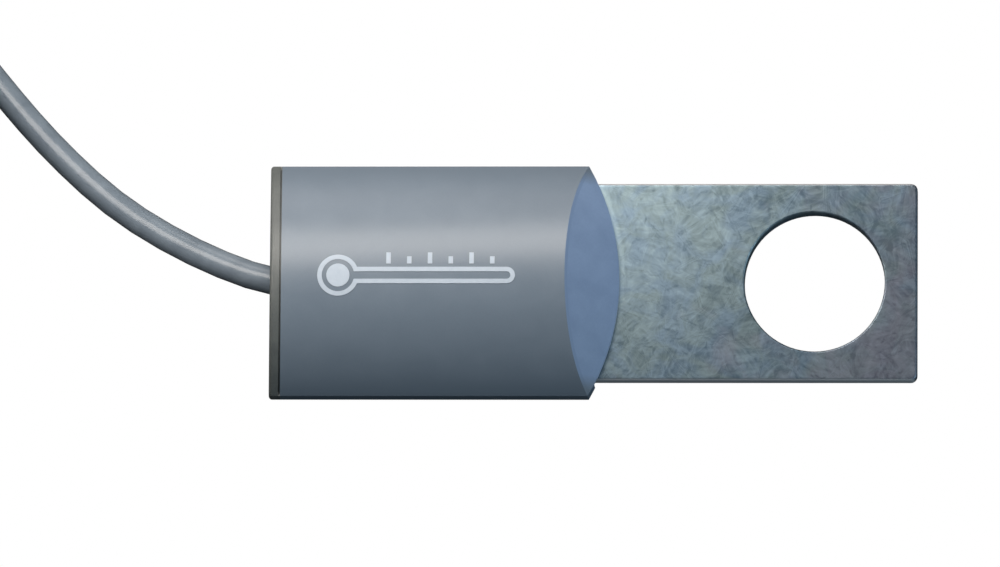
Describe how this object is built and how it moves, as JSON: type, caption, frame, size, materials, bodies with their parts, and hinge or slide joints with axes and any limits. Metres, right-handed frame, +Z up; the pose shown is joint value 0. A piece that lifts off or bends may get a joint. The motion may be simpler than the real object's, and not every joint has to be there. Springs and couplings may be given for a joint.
{
  "type": "battery temperature sensor",
  "caption": "Flat tinned lug plate with a stud hole, an arched grey sensor body moulded over its rear half, and a thin cable wound into a coil.",
  "frame": {"origin": "centre of the stud hole at the underside of the lug plate", "axes": "+X along the plate from the body to the free end, +Z up through the stud hole, +Y to the side that the cable leaves towards"},
  "size_m": [0.1285, 0.0595, 0.0247],
  "materials": {
    "tinned_plate": "tinned, soft sheen, fine swirls",
    "shell_plastic": "satin moulded grey",
    "nose_plastic": "satin blue-grey",
    "rear_plastic": "satin moulded grey",
    "mark_ink": "white pad print",
    "cable_jacket": "soft satin grey",
    "grommet_rubber": "matt",
    "crimp_metal": "plain",
    "potting_epoxy": "cast",
    "bead_epoxy": "dipped",
    "thermal_adhesive": "matt white",
    "tinned_wire": "bright",
    "solder_joint": "bright",
    "sleeve_black": "shrunk, satin",
    "core_red": "satin",
    "core_black": "satin",
    "collar_red": "glossy",
    "collar_black": "glossy",
    "tie_fabric": "woven strap"
  },
  "bodies": {
    "root": {"lug_plate": "tinned_plate", "housing_shell": "shell_plastic", "front_cap": "nose_plastic", "rear_cap": "rear_plastic", "cable_grommet": "grommet_rubber", "cable_crimp": "crimp_metal", "potting": "potting_epoxy", "thermistor_bead": "bead_epoxy", "thermal_pad": "thermal_adhesive", "thermistor_lead_left": "tinned_wire", "thermistor_lead_right": "tinned_wire", "splice_left": "solder_joint", "splice_right": "solder_joint", "splice_sleeve_left": "sleeve_black", "splice_sleeve_right": "sleeve_black", "inner_core_left": "core_red", "inner_core_right": "core_black", "cable_lead": "cable_jacket", "cable_coil": "cable_jacket", "cable_tail": "cable_jacket", "coil_tie": "tie_fabric", "jacket_end_sleeve": "sleeve_black", "tail_core_red": "core_red", "tail_core_black": "core_black", "ferrule_collar_red": "collar_red", "ferrule_collar_black": "collar_black", "ferrule_pin_red": "tinned_wire", "ferrule_pin_black": "tinned_wire"}
  },
  "joints": []
}
